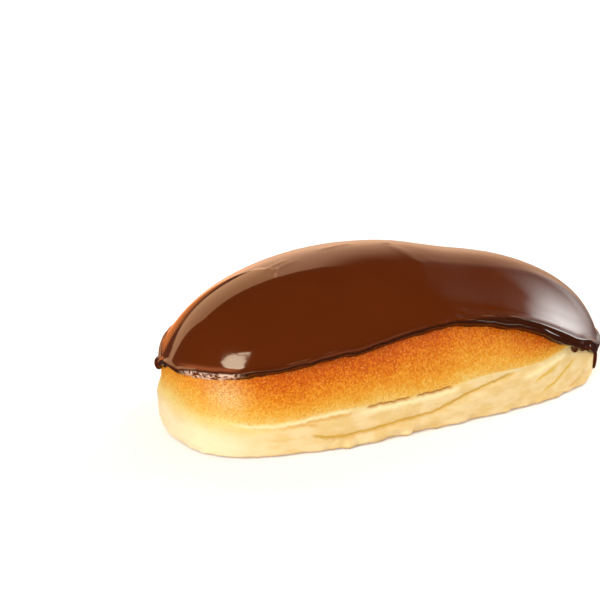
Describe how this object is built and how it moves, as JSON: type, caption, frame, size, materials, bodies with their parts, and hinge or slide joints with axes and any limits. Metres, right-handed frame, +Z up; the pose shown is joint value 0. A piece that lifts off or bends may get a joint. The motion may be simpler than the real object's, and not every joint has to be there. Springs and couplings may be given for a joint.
{
  "type": "chocolate-glazed butter bun",
  "caption": "Long soft butter bun with a flat base and creased pale sides, its crown under a poured glossy chocolate glaze with a rounded lip.",
  "frame": {"origin": "middle of the flat base, on the surface that the bun stands on", "axes": "+X along the bun towards its lower and more deeply glazed end, +Z up, -Y the side shown in the picture"},
  "size_m": [0.1499, 0.0718, 0.0524],
  "materials": {
    "baked_dough": "soft baked crust, golden brown above, pale cream towards the base",
    "chocolate": "smooth glossy milk-brown chocolate glaze"
  },
  "bodies": {
    "root": {"bun": "baked_dough", "chocolate_glaze": "chocolate"}
  },
  "joints": []
}
